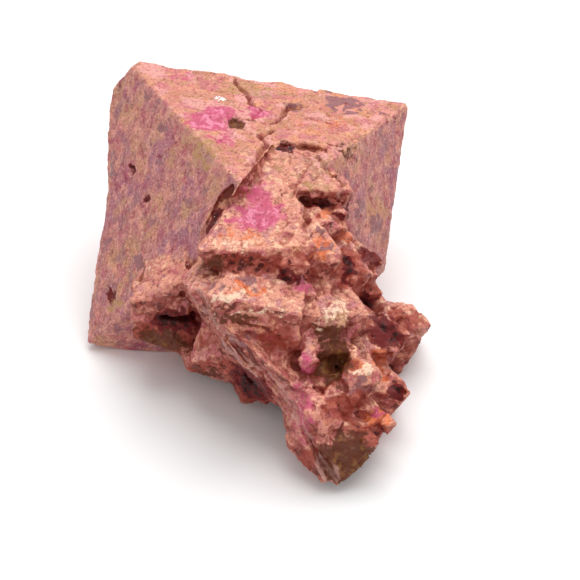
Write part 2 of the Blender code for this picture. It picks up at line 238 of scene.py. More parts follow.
SPOTS = {
    Hue.PINK: spots(
        (-9.4, -10.6, 19.2, 2.6, 1.7), (-7.9, -8.0, 20.6, 1.9, 1.2), (-3.7, -6.1, 21.0, 1.3, 0.9),
        (-7.3, -13.8, 16.7, 1.0, 1.4, 0.7), (-12.5, -2.1, 25.4, 1.6, 0.6, 0.6),
        (-3.5, -19.2, 8.2, 3.0, 1.5), (-3.3, -17.0, 10.6, 1.6, 1.6, 0.8), (1.1, -21.8, 0.0, 1.2, 0.9, 0.8),
        (1.9, -22.6, -8.1, 1.0, 1.6, 0.7), (1.4, -21.6, -12.6, 1.2, 3.4, 0.5),
        (9.8, -20.7, -13.4, 0.8, 0.8, 0.8), (-1.4, -22.3, -5.0, 1.0, 0.7, 0.5),
    ),
    Hue.MAUVE: spots(
        (6.6, -0.9, 22.4, 2.6, 0.6), (4.8, 0.8, 23.9, 1.2, 0.5), (7.4, -2.4, 21.2, 1.4, 0.4),
        (11.3, -1.3, 21.1, 0.6, 0.5), (0.4, -4.0, 21.6, 1.0, 0.9, 0.9), (-17.0, -5.1, 22.3, 0.8, 1.0, 0.7),
        (-14.7, -8.5, 19.0, 1.0, 1.1, 0.9), (-20.8, -2.2, 14.9, 0.9, 1.8, 0.7),
        (-21.5, -3.1, 5.9, 1.2, 0.8, 0.9), (-17.3, -8.5, 3.2, 1.0, 0.8, 0.9),
        (8.2, -6.0, 9.7, 1.0, 1.2, 0.9), (10.1, -2.3, 7.7, 0.7, 1.7, 0.8), (5.0, -16.6, 7.6, 0.8, 0.5, 0.9),
        (3.1, -18.2, 6.4, 0.7, 0.5, 0.8), (4.0, -19.5, 4.7, 0.8, 0.5, 0.9),
        (-4.2, -22.6, 1.0, 1.3, 1.0, 0.75), (1.6, -20.5, 1.4, 1.4, 0.8, 1.0),
        (-8.0, -23.7, 0.5, 0.9, 0.9, 0.6), (7.4, -22.3, -10.3, 1.4, 1.4, 0.6),
        (-4.8, -22.0, -5.4, 1.8, 1.0, 0.6),
    ),
    # Painted shade in recesses, cracks and pits.
    Hue.MAROON: spots(
        (-18.5, -4.9, 14.1, 0.5, 0.6, 0.8), (-16.5, -8.0, 10.4, 0.5, 0.5, 0.8),
        (-21.1, -4.9, -0.6, 0.8, 0.8, 0.6), (-0.6, -11.8, 16.2, 0.9, 0.4), (3.1, -15.3, 9.5, 1.1, 0.5),
        (5.6, -15.2, 8.6, 0.6, 0.6, 0.9), (6.3, -9.0, 9.0, 0.7, 0.9), (9.2, -10.3, 4.0, 1.8, 1.4, 0.6),
        (8.6, -9.6, -1.7, 0.9, 1.0), (6.1, -17.1, 2.4, 0.6, 1.2), (10.6, -12.6, -5.0, 2.2, 2.4, 0.8),
        (11.8, -17.8, -11.5, 1.0, 0.7, 0.8), (-13.0, -12.8, -3.4, 2.6, 1.0), (-3.8, -15.6, -10.4, 3.0, 2.2),
        (0.0, -20.8, 1.6, 1.1, 0.8), (-7.9, -16.9, 7.2, 1.0, 1.8, 0.9),
    ),
    Hue.OCHRE: spots(
        (-6.3, -9.7, 19.2, 1.0, 0.7), (4.9, -19.5, -7.9, 2.0, 2.4), (4.2, -21.0, -4.6, 1.6, 0.8, 0.8),
        (-6.4, -23.4, -3.0, 2.2, 0.8, 0.6), (-14.7, -12.1, -5.7, 2.8, 1.2, 0.8),
        (6.6, -21.2, -18.4, 3.4, 2.8), (-8.1, -22.1, 3.0, 1.2, 0.7, 0.7), (6.9, -9.5, 16.1, 1.2, 1.2, 0.5),
        (-9.0, -12.9, -9.3, 2.0, 0.8, 0.8),
    ),
    # Pale patches, partly the crust's own colour and partly painted highlights on lips and edges.
    Hue.CREAM: spots(
        (5.2, -20.6, -2.6, 1.5, 1.3, 0.7), (-6.6, -24.5, -0.7, 1.4, 0.6, 1.0),
        (-3.2, -23.9, -2.3, 2.8, 0.4, 0.6), (-5.6, -22.3, 4.7, 1.6, 0.4, 0.6),
        (5.5, -19.5, -1.8, 0.9, 0.8, 0.9), (7.8, -22.1, -8.6, 1.2, 0.5, 0.9),
        (12.8, -7.5, -1.7, 2.6, 0.5, 0.4), (3.2, -21.5, -3.8, 1.2, 0.7, 0.6),
        (-7.9, -22.0, -2.7, 0.9, 1.6, 0.5), (-4.0, -23.2, 0.4, 2.4, 0.9, 0.35),
        (-14.8, -11.2, 2.4, 1.6, 1.4, 0.5),
    ),
    Hue.ORANGE: spots(
        (4.1, -6.4, 19.2, 3.6, 1.8, 0.45), (-4.5, -23.3, 0.0, 2.0, 0.8, 0.9),
        (3.3, -19.8, 4.6, 1.8, 1.2, 0.9), (4.0, -16.4, 8.3, 1.2, 0.9, 0.8),
        (-5.4, -21.2, 6.0, 2.6, 1.0, 0.6), (6.2, -12.6, 6.2, 2.2, 1.4, 0.8),
        (9.8, -20.7, -14.1, 1.8, 1.2, 0.9), (10.2, -17.8, -8.4, 1.4, 2.0, 0.9),
        (7.0, -22.0, -7.8, 0.9, 0.7, 0.8),
    ),
    Hue.TAN: spots(
        (5.6, -21.0, -3.2, 1.8, 1.6, 0.9), (-5.4, -2.4, 24.0, 2.6, 1.0), (-2.4, -1.6, 23.6, 2.6, 0.8, 0.8),
        (-9.5, -15.1, 15.7, 1.6, 2.6), (-11.6, -12.8, 17.4, 1.0, 1.4, 0.8),
        (7.5, -9.0, 16.6, 3.0, 0.9, 0.8), (-1.0, -14.6, 14.2, 1.6, 0.8, 0.8), (-20.0, -5.4, -1.6, 1.6, 1.0),
        (2.2, -16.6, 11.4, 1.8, 0.6),
    ),
    Hue.BRICK: spots(
        (-1.2, -22.3, -5.2, 1.8, 1.4, 0.8), (13.4, -9.6, -3.4, 2.4, 1.4, 0.7),
        (10.8, -12.6, -5.2, 2.6, 2.4), (8.6, -10.4, -0.6, 1.8, 2.4, 0.8), (6.4, -15.5, 2.4, 2.0, 2.6, 0.8),
        (8.4, -21.6, -15.4, 2.6, 1.0, 0.75), (6.2, -21.6, -12.4, 3.0, 2.2, 0.6),
        (-4.4, -21.8, 3.0, 4.8, 0.9), (-3.6, -15.5, -11.2, 3.4, 2.4), (-8.6, -14.8, -9.0, 3.0, 1.0),
        (-14.4, -14.0, -5.4, 3.4, 1.6, 0.9), (3.8, -14.8, 9.7, 2.4, 0.7), (1.4, -19.4, 3.0, 0.9, 2.0),
        (5.0, -19.6, -8.4, 2.6, 2.2, 0.8), (12.0, -17.4, -10.9, 1.2, 0.9, 0.7),
        (-9.7, -17.6, -5.7, 1.4, 1.0, 0.5), (2.4, -20.6, -18.6, 1.6, 1.4, 0.6),
    ),
    # Painted glints: white specks where small facets would catch the light.
    Hue.GLINT: spots(
        (-8.0, -18.4, 7.6, 1.6, 2.4), (-14.0, -12.2, 4.2, 3.4, 2.4, 0.9), (-11.4, -16.0, 4.0, 1.6, 1.6),
        (1.6, -11.6, 16.2, 3.2, 0.7), (-3.6, -9.4, 19.2, 1.0, 0.5), (-8.7, -5.2, 22.5, 0.8, 0.45, 1.6),
        (1.4, -14.9, 13.6, 1.8, 0.7, 0.9), (-10.2, -12.2, -5.4, 1.4, 1.4, 0.9),
        (-5.9, -24.3, -0.6, 1.6, 0.7, 0.8), (4.9, -17.0, 5.4, 2.0, 1.6, 0.9),
        (7.8, -21.9, -8.6, 1.2, 0.6, 0.9), (10.8, -12.0, -4.6, 2.2, 1.8, 0.8),
    ),
}

GROOVES = (
    Groove(((-2.5, -12.3, 16.8), (-2.9, -13.1, 16.3), (-3.5, -14.9, 15.1), (-4.2, -17.0, 13.8)), 0.30, 0.55),
    Groove(((-6.8, 1.0, 25.4), (-6.3, -1.8, 24.4), (-4.9, -3.2, 23.2), (-4.5, -4.6, 22.3)), 0.30, 0.8),
    Groove(((-4.5, -4.6, 22.3), (-3.3, -5.9, 21.0), (-4.6, -8.3, 19.8), (-6.2, -8.9, 19.6)), 0.25, 0.5),
    Groove(((-4.6, -8.3, 19.8), (-2.6, -8.7, 19.4), (-1.2, -7.2, 19.8), (-0.2, -4.8, 21.2)), 0.28, 0.5),
    Groove(((-0.2, -4.8, 21.2), (0.2, -3.4, 22.0), (1.9, -3.3, 21.8)), 0.35, 0.5),
    Groove(((-2.6, -12.6, 16.8), (-3.5, -11.4, 17.5), (-2.6, -10.6, 18.0), (-1.9, -9.6, 18.5)), 0.25, 0.8),
    Groove(((-0.8, -11.4, 16.6), (1.2, -11.0, 16.6), (2.8, -11.2, 16.2)), 0.40, 0.8),
    Groove(((3.4, -10.4, 16.6), (5.2, -10.0, 16.4)), 0.30, 0.5),
    Groove(((2.4, -5.4, 20.2), (3.6, -5.6, 19.8), (4.8, -5.6, 19.6)), 0.25, 0.5),
    Groove(((3.2, 0.2, 23.8), (3.0, 2.0, 25.0)), 0.30, 0.5),
)

PITS = (
    Pit((-18.5, -4.9, 14.1), 0.7, 0.45), Pit((-16.5, -8.0, 10.4), 0.65, 0.4),
    Pit((-21.1, -4.9, -0.6), 0.9, 0.3), Pit((-6.3, -9.7, 19.2), 0.9, 0.7), Pit((0.4, -4.0, 21.6), 0.9, 0.4),
    Pit((4.9, -19.5, -7.9), 1.3, 0.8), Pit((3.4, -19.0, -6.4), 0.9, 0.7),
    Pit((-8.4, -9.4, 19.8), 2.6, -0.35), Pit((-0.6, -6.0, 20.8), 2.2, -0.35),
    Pit((2.4, -9.0, 18.0), 2.6, -0.3),
)

CLUSTERS = (
    Cluster(((5.5, -16.5, 5.5),), 4.5, 90, 0.8, 2.4, Lattice.ARM, 0.2),
    Cluster(((7.5, -12.5, 1.5),), 4.0, 80, 0.8, 2.2, Lattice.ARM, 0.2),
    Cluster(((4.8, -20.8, -3.0),), 2.4, 60, 0.5, 1.2),
    Cluster(((4.7, -19.8, -8.0),), 3.0, 90, 0.6, 1.5, Lattice.ARM, 0.35),
    Cluster(((8.0, -21.5, -12.5),), 4.0, 90, 0.8, 2.2, Lattice.ARM, 0.2),
    Cluster(((2.0, -20.5, -13.5),), 3.5, 30, 0.8, 2.0, Lattice.ARM, 0.15),
    Cluster(((11.0, -11.0, -4.5),), 3.6, 40, 1.2, 3.0, Lattice.ARM, 0.35),
    Cluster(((-4.0, -13.6, -10.6),), 3.0, 50, 0.8, 2.0, proud=0.15),
    Cluster(((2.4, -13.5, 9.5), (4.6, -13.0, 10.5)), 2.4, 50, 0.9, 2.2, Lattice.ARM, 0.5),
    Cluster(((-0.6, -11.8, 16.4), (4.6, -10.9, 16.0)), 1.0, 50, 0.4, 1.0, proud=0.25),
    Cluster(((2.6, -15.4, 12.6),), 2.6, 50, 0.5, 1.2, proud=0.1),
    Cluster(((1.6, -18.0, 9.0), (1.8, -19.6, 5.0)), 1.4, 40, 0.8, 2.2, Lattice.ARM, 0.2),
    Cluster(((-5.0, -21.4, 5.0), (0.0, -21.0, 5.0)), 2.0, 40, 0.8, 1.8, Lattice.ARM, 0.15),
    Cluster(((-8.0, -22.4, 1.4), (0.6, -21.6, 0.8)), 1.4, 50, 0.6, 1.6, proud=0.1),
)

SPLINTERS = (
    Splinter((0.8, -18.6, -6.0), (4.8, -18.4, -8.8), 4.0),
    Splinter((1.2, -13.2, 11.6), (4.6, -12.0, 8.4), 4.6),
    Splinter((-5.2, -17.4, 11.8), (-9.4, -15.8, 5.2), 2.6),
    Splinter((-3.0, -12.2, 15.4), (-5.2, -18.0, 11.9), 1.7, 1.0),
    Splinter((-1.2, -19.2, -6.4), (1.2, -19.4, -8.6), 3.2),
    Splinter((10.8, -15.9, -9.4), (12.5, -16.3, -11.3), 1.9, 1.0),
    Splinter((1.0, -20.0, -4.2), (2.6, -20.4, -7.4), 2.6, 1.0),
)

SLABS = (
    Slab((  # the long flank under the block
        (-10.4, -20.4, -0.6), (-8.4, -22.4, -1.0), (1.4, -21.6, -11.8), (1.8, -21.4, -13.6),
        (-0.6, -19.6, -13.5), (-9.6, -18.2, -3.6), (-2.2, -17.2, -12.4), (-4.0, -15.0, -6.0),
        (0.0, -20.8, -7.0),
    )),
    Slab((  # the lath beside the flank
        (-9.0, -22.2, -1.6), (-7.8, -21.0, -5.0), (-2.8, -20.2, -10.6), (-1.2, -21.4, -8.8),
        (-6.0, -22.8, -3.6), (-5.0, -17.0, -7.0),
    )),
    Slab((  # the blade at the left of the arm's tip
        (0.2, -20.6, -13.4), (0.2, -20.0, -16.0), (1.2, -20.0, -17.7), (3.7, -20.0, -20.8),
        (5.0, -20.2, -21.4), (4.8, -21.6, -17.6), (3.0, -21.9, -14.6), (2.4, -17.0, -14.0),
        (4.6, -17.6, -19.6),
    )),
    Slab((  # the flat foot of the arm's tip
        (4.4, -21.8, -16.2), (8.0, -21.6, -16.0), (8.8, -20.8, -18.2), (6.5, -20.4, -20.4),
        (5.0, -20.6, -21.5), (4.0, -20.6, -19.6), (6.0, -17.6, -17.6),
    )),
    Slab((  # the slope from the left face down to the shelf
        (-16.9, -9.0, 4.0), (-14.6, -11.0, 5.6), (-12.0, -14.4, 5.0), (-17.0, -12.0, 1.0),
        (-16.9, -14.4, -0.8), (-12.4, -16.2, -0.8), (-11.0, -18.0, 1.4), (-13.0, -8.0, 0.0),
    )),
    Slab((  # the pointed toe under the shelf
        (-11.8, -13.6, -8.4), (-10.1, -15.2, -3.4), (-7.0, -19.0, -4.6), (-5.4, -18.0, -7.2),
        (-6.8, -15.4, -9.8), (-10.6, -13.0, -9.4), (-9.0, -16.8, -7.8), (-8.0, -10.0, -6.0),
    )),
    Slab((  # the rounded lobe at the right of the crown
        (-2.2, -20.0, 5.9), (-0.4, -20.4, 5.9), (0.9, -21.2, 5.0), (1.3, -22.0, 3.8), (0.6, -22.0, 2.2),
        (0.0, -21.4, 1.2), (-2.6, -22.1, 3.5), (-2.6, -21.2, 1.6), (-1.0, -18.0, 3.0),
    )),
    Slab((  # the stepped upper left corner
        (-18.4, -2.0, 26.7), (-20.6, -0.2, 25.2), (-21.5, 0.7, 24.2), (-21.7, 0.2, 21.4),
        (-22.1, -1.4, 10.0), (-18.6, 2.6, 25.2), (-19.8, 3.4, 21.0), (-20.4, 2.4, 10.0),
        (-16.0, -2.0, 20.0), (-16.4, 4.2, 24.0), (-15.0, 7.6, 21.0), (-17.2, 6.0, 12.0),
    )),
    Slab((  # the crystal under the small block
        (1.8, -13.5, 10.0), (6.0, -11.4, 10.2), (3.0, -15.4, 9.5), (5.3, -14.4, 9.7), (2.0, -17.4, 7.4),
        (4.2, -17.8, 7.0), (6.5, -15.4, 7.0), (2.0, -15.0, 5.5), (6.5, -13.0, 5.5), (3.5, -18.0, 5.8),
    )),
    Slab((  # the dark lump beside the toe
        (-6.4, -13.4, -9.0), (-4.6, -16.2, -8.6), (-0.6, -17.0, -11.6), (-0.9, -15.4, -13.0),
        (-4.9, -13.0, -12.4), (-3.0, -10.0, -10.0),
    )),
)

KNOBS = (
    Knob((0.4, -21.0, 2.6), 3.6), Knob((1.0, -20.4, 4.6), 3.6), Knob((1.9, -21.6, -7.6), 2.6),
    Knob((2.6, -12.9, 9.4), 3.6), Knob((4.6, -12.6, 8.4), 3.4), Knob((5.7, -10.4, 11.2), 3.4),
    Knob((1.2, -20.6, -10.4), 3.0), Knob((3.2, -19.4, -10.6), 3.2), Knob((5.0, -18.4, -7.6), 3.4),
    Knob((12.1, -16.4, -10.7), 2.0), Knob((2.7, -16.2, 8.5), 2.0), Knob((5.5, -15.0, 8.5), 2.2),
    Knob((4.0, -17.0, 7.5), 2.0), Knob((1.7, -16.4, 7.9), 2.4), Knob((-11.2, -14.8, 2.8), 2.4),
)

STRIAE = (
    Striae(((-9.8, -21.4, -0.6), (0.4, -20.6, -12.8)), 2.3),
    Striae(((1.2, -21.0, -13.4), (4.4, -20.8, -20.0)), 1.6),
)


def add_object(name: str, data: bpy.types.ID) -> bpy.types.Object:
    """Puts a new object into the scene.

    Args:
        name: Its name.
        data: Its mesh, light or camera.

    Returns:
        The object.
    """
    added = bpy.data.objects.new(name, data)
    bpy.context.scene.collection.objects.link(added)
    return added


def linear(colour: str) -> tuple[float, float, float, float]:
    """Turns an sRGB hex colour to linear.

    Args:
        colour: The colour, such as "#D98E78".

    Returns:
        Red, green, blue and an alpha of 1.
    """
    shares = [int(colour[i : i + 2], 16) / 255 for i in (1, 3, 5)]
    red, green, blue = [c / 12.92 if c <= 0.04045 else ((c + 0.055) / 1.055) ** 2.4 for c in shares]
    return red, green, blue, 1.0


def smooth_step(low: float, high: float, values: Array) -> Array:
    """Rises smoothly from 0 at low to 1 at high, or falls where low is the larger."""
    share = np.clip((values - low) / (high - low), 0.0, 1.0)
    return share * share * (3.0 - 2.0 * share)


def host_axes() -> Matrix:
    """Works out how the large octahedron stands.

    Returns:
        Its three axes, as columns: to its upper right, its upper left and its front.
    """
    upright = Matrix(((1, 0, 0), (0, 0, -1), (0, 1, 0)))
    roll = Matrix.Rotation(HOST_ROLL, 3, Vector((0, -1, 0)))
    pitch = Matrix.Rotation(HOST_PITCH, 3, "X")
    yaw = Matrix.Rotation(HOST_YAW, 3, "Z")
    return yaw @ pitch @ roll @ upright


def arm_axes() -> Matrix:
    """Works out how the arm's crystals stand.

    Returns:
        Their three axes, as columns: to their left front, their right front and up.
    """
    half = math.sqrt(0.5)
    upright = Matrix(((-half, half, 0), (-half, -half, 0), (0, 0, 1)))
    edge_up_left = Vector((-math.sqrt(1 / 3), 0, math.sqrt(2 / 3)))
    return Matrix.Rotation(ARM_LEAN, 3, edge_up_left) @ upright


def fall_line() -> Vector:
    """The direction that the large octahedron's streaks run in."""
    axes = host_axes()
    return (axes.col[0] + axes.col[1]).normalized()


def to_world() -> Matrix:
    """From the growth frame in millimetres to the world in metres."""
    lie_back = Matrix.Rotation(-REST_TILT, 4, "X")
    return Matrix.Scale(MM, 4) @ Matrix.Translation(GROWTH_ORIGIN) @ lie_back


def fractal(points: Array, cloud: Cloud) -> Array:
    """Reads cloudy noise at points, from about -1 to 1."""
    rows = (points / cloud.size + cloud.place).tolist()
    return np.array([noise.fractal(row, 1.0, 2.0, cloud.octaves) for row in rows])


def frayed(points: Array, reach: float, cloud: Cloud) -> Array:
    """Points moved at random by up to about a reach, which frays anything measured from them."""
    shifts = [fractal(points, replace(cloud, place=cloud.place + step)) for step in AXIS_STEPS]
    return points + reach * np.stack(shifts, 1)


def plates(points: Array, size: float, place: float) -> Array:
    """Reads a pattern of flat plates with straight sides.

    Args:
        points: Where to read it.
        size: How wide the plates are.
        place: Moves to another part of the same pattern.

    Returns:
        The height of the plate at each point, from -1 to 1.
    """
    rows = (points / size + place).tolist()
    nearest = [noise.voronoi(row)[1][0] for row in rows]
    return np.array([noise.cell(point * CELL_STEP) for point in nearest]) * 2.0 - 1.0


def stretched(points: Array, direction: Vector, factor: float) -> Array:
    """Points squeezed along a direction, which draws any pattern read at them out along it."""
    along = np.array(direction)
    return points - np.outer(points @ along, along) * (1.0 - 1.0 / factor)


def chain_distance(points: Array, chain: Array) -> Array:
    """Measures how far points are from a chain of straight lines.

    Args:
        points: The points.
        chain: The corners of the chain, in order.

    Returns:
        One distance for each point.
    """
    nearest = np.full(len(points), np.inf)
    for start, end in zip(chain[:-1], chain[1:]):
        line = end - start
        share = np.clip((points - start) @ line / (line @ line), 0.0, 1.0)
        offset = points - start - share[:, None] * line
        nearest = np.minimum(nearest, np.linalg.norm(offset, axis=1))
    return nearest


@dataclass
class Surface:
    """A dense mesh as arrays: its corners and their normals, in growth-frame millimetres, and its edges."""

    mesh: bpy.types.Mesh
    points: Array = field(init=False)
    normals: Array = field(init=False)
    edges: Array = field(init=False)
    top: Array = field(init=False)  # where it lies on the large octahedron's upper face, from 0 to 1
    sides: Array = field(init=False)  # where it lies on that crystal's other faces

    def __post_init__(self) -> None:
        """Reads the mesh."""
        self.edges = np.zeros(len(self.mesh.edges) * 2, np.int32)
        self.mesh.edges.foreach_get("vertices", self.edges)
        self.edges = self.edges.reshape(-1, 2)
        self.points = np.zeros(len(self.mesh.vertices) * 3)
        self.mesh.vertices.foreach_get("co", self.points)
        self.points = self.points.reshape(-1, 3)
        self.read_normals()

    def read_normals(self) -> None:
        """Reads the corners' normals as the mesh now stands."""
        self.normals = np.zeros(len(self.points) * 3)
        self.mesh.vertices.foreach_get("normal", self.normals)
        self.normals = self.normals.reshape(-1, 3)

    def move_to(self, points: Array) -> None:
        """Moves the corners to new places.

        Args:
            points: The new places.
        """
        self.points = points
        self.mesh.vertices.foreach_set("co", points.ravel())
        self.mesh.update()
        self.read_normals()

    def smoothed(self, values: Array, rounds: int) -> Array:
        """Averages values over neighbouring corners, again and again.

        Args:
            values: One value, or one row of values, for each corner.
            rounds: How many times.

        Returns:
            The averaged values.
        """
        first, second = self.edges.T
        count = len(self.points)
        degree = np.bincount(first, minlength=count) + np.bincount(second, minlength=count)
        columns = values.reshape(count, -1).astype(float)
        for _ in range(rounds):
            fresh = np.empty_like(columns)
            for i in range(columns.shape[1]):
                total = np.bincount(first, columns[second, i], count)
                total += np.bincount(second, columns[first, i], count)
                fresh[:, i] = total / degree
            columns = 0.5 * (columns + fresh)
        return columns.reshape(values.shape)

    def hollowness(self, rounds: int) -> Array:
        """How far each corner lies under its smoothed surroundings, in millimetres; negative on ridges."""
        return np.einsum("ij,ij->i", self.smoothed(self.points, rounds) - self.points, self.normals)

    def openness(self, rays: int, reach: float) -> Array:
        """The share of rays from each corner that leave the group without meeting it.

        Args:
            rays: How many rays each corner sends out.
            reach: How far a ray goes, in millimetres.

        Returns:
            One value from 0, buried, to 1, open, for each corner.
        """
        faces = [tuple(face.vertices) for face in self.mesh.polygons]
        tree = BVHTree.FromPolygons(self.points.tolist(), faces)
        golden = math.pi * (3.0 - math.sqrt(5.0))
        lift = 1.0 - (np.arange(rays) + 0.5) * 2.0 / rays
        turn = golden * np.arange(rays)
        flat = np.sqrt(1.0 - lift * lift)
        sphere = [Vector(ray) for ray in np.stack([flat * np.cos(turn), flat * np.sin(turn), lift], 1)]
        free = np.empty(len(self.points))
        pairs = zip((self.points + self.normals * RAY_LIFT).tolist(), self.normals.tolist())
        for i, (point, normal) in enumerate(pairs):
            outward = Vector(normal)
            start = Vector(point)
            met = 0
            for ray in sphere:
                met += tree.ray_cast(start, (ray + outward * RAY_LEAN).normalized(), reach)[0] is not None
            free[i] = 1.0 - met / rays
        return free


@dataclass
class RoughGroup:
    """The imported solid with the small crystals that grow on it, before it gets its crust."""

    node: bpy.types.Object
    turn_spread: float = math.radians(7.0)
    tries: int = 60  # points tried for each small crystal of a cluster
    near: float = 2.5  # how far from a cluster faces are looked at, in shares of its radius

    def blank(self) -> BMesh:
        """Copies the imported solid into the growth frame.

        Returns:
            The copy, with its corners merged.
        """
        bm = bmesh.new()
        bm.from_mesh(self.node.data)
        bm.transform(to_world().inverted())
        bmesh.ops.remove_doubles(bm, verts=bm.verts, dist=MERGE_DISTANCE)
        return bm

    def turned(self, lattice: Lattice, about: Vector, rng: np.random.Generator) -> Matrix:
        """The directions of a small crystal's axes.

        Args:
            lattice: How it stands.
            about: The face that it stands on.
            rng: The source of chance.

        Returns:
            A rotation.
        """
        if lattice is Lattice.LOOSE:
            return Matrix.Rotation(rng.uniform(0, math.tau), 3, Vector(rng.normal(size=3)))
        return Matrix.Rotation(rng.normal(0.0, self.turn_spread), 3, about) @ arm_axes()

    def add_crystal(self, bm: BMesh, centre: Vector, width: float, turn: Matrix) -> None:
        """Adds one small octahedron.

        Args:
            bm: The mesh that it is added to.
            centre: Its middle.
            width: The length of its edges.
            turn: The directions of its axes.
        """
        seat = Matrix.Translation(centre) @ turn.to_4x4()
        bmesh.ops.create_uvsphere(bm, u_segments=4, v_segments=2, radius=width / math.sqrt(2), matrix=seat)

    def add_splinter(self, bm: BMesh, splinter: Splinter) -> None:
        """Adds one long crystal that narrows towards its end.

        Args:
            bm: The mesh that it is added to.
            splinter: The crystal.
        """
        start, end = Vector(splinter.start), Vector(splinter.end)
        along = end - start
        seat = Matrix.Translation((start + end) / 2) @ along.to_track_quat("Z", "Y").to_matrix().to_4x4()
        radius = splinter.width / 2
        bmesh.ops.create_cone(
            bm, cap_ends=True, segments=6, radius1=radius, radius2=radius * splinter.taper,
            depth=along.length, matrix=seat,
        )

    def add_slab(self, bm: BMesh, slab: Slab) -> None:
        """Adds one flat-faced crystal.

        Args:
            bm: The mesh that it is added to.
            slab: The crystal.
        """
        verts = [bm.verts.new(corner) for corner in slab.corners]
        spare = bmesh.ops.convex_hull(bm, input=verts)["geom_interior"]
        bmesh.ops.delete(bm, geom=[item for item in spare if isinstance(item, bmesh.types.BMVert)])

    def add_cluster(self, bm: BMesh, cluster: Cluster, corners: Array, rng: np.random.Generator) -> None:
        """Stands the small crystals of one cluster on the faces of the plain solid.

        Args:
            bm: The mesh that they are added to.
            cluster: The cluster.
            corners: The corners of the plain solid's triangles.
            rng: The source of chance.
        """
        path = np.array(cluster.path if len(cluster.path) > 1 else cluster.path * 2)
        path[-1] += CHAIN_LEAST
        gaps = chain_distance(corners.reshape(-1, 3), path).reshape(-1, 3).min(1)
        near = corners[gaps < cluster.radius * self.near]
        crosses = np.cross(near[:, 1] - near[:, 0], near[:, 2] - near[:, 0])
        areas = np.linalg.norm(crosses, axis=1)
        picks = rng.choice(len(near), cluster.count * self.tries, p=areas / areas.sum())
        low, high = np.sort(rng.random((2, len(picks))), axis=0)[:, :, None]
        points = near[picks, 0] * low + near[picks, 1] * (high - low) + near[picks, 2] * (1 - high)
        inside = np.flatnonzero(chain_distance(points, path) < cluster.radius)[: cluster.count]
        for point, pick in zip(points[inside], picks[inside]):
            width = rng.uniform(cluster.small, cluster.large)
            outward = Vector(crosses[pick] / areas[pick])
            centre = Vector(point) - outward * width * (FACE_REACH - 2 * FACE_REACH * cluster.proud)
            self.add_crystal(bm, centre, width, self.turned(cluster.lattice, outward, rng))

    def build(self) -> BMesh:
        """Puts everything on the solid that grows on it.

        Returns:
            The solid and its small crystals, as loose closed shells.
        """
        rng = np.random.default_rng(SEED)
        rough = self.blank()
        bmesh.ops.triangulate(rough, faces=rough.faces)
        corners = np.array([[vert.co for vert in face.verts] for face in rough.faces])
        for splinter in SPLINTERS:
            self.add_splinter(rough, splinter)
        for slab in SLABS:
            self.add_slab(rough, slab)
        for knob in KNOBS:
            turn = self.turned(Lattice.ARM, Vector((0, 0, 1)), rng)
            self.add_crystal(rough, Vector(knob.centre), knob.width, turn)
        for cluster in CLUSTERS:
            self.add_cluster(rough, cluster, corners, rng)
        return rough


@dataclass(frozen=True)
class Quarter:
    """A part of the skin between planes through the middle of the large octahedron, along its edges."""

    name: str
    signs: tuple[int, int, int]  # the side of each plane that it keeps, or 0 for both


QUARTERS = (
    Quarter("top_crust", (1, 1, 1)),
    Quarter("left_crust", (-1, 1, 1)),
    Quarter("right_crust", (1, -1, 1)),
    Quarter("lower_crust", (-1, -1, 1)),
    Quarter("back_crust", (0, 0, -1)),
)


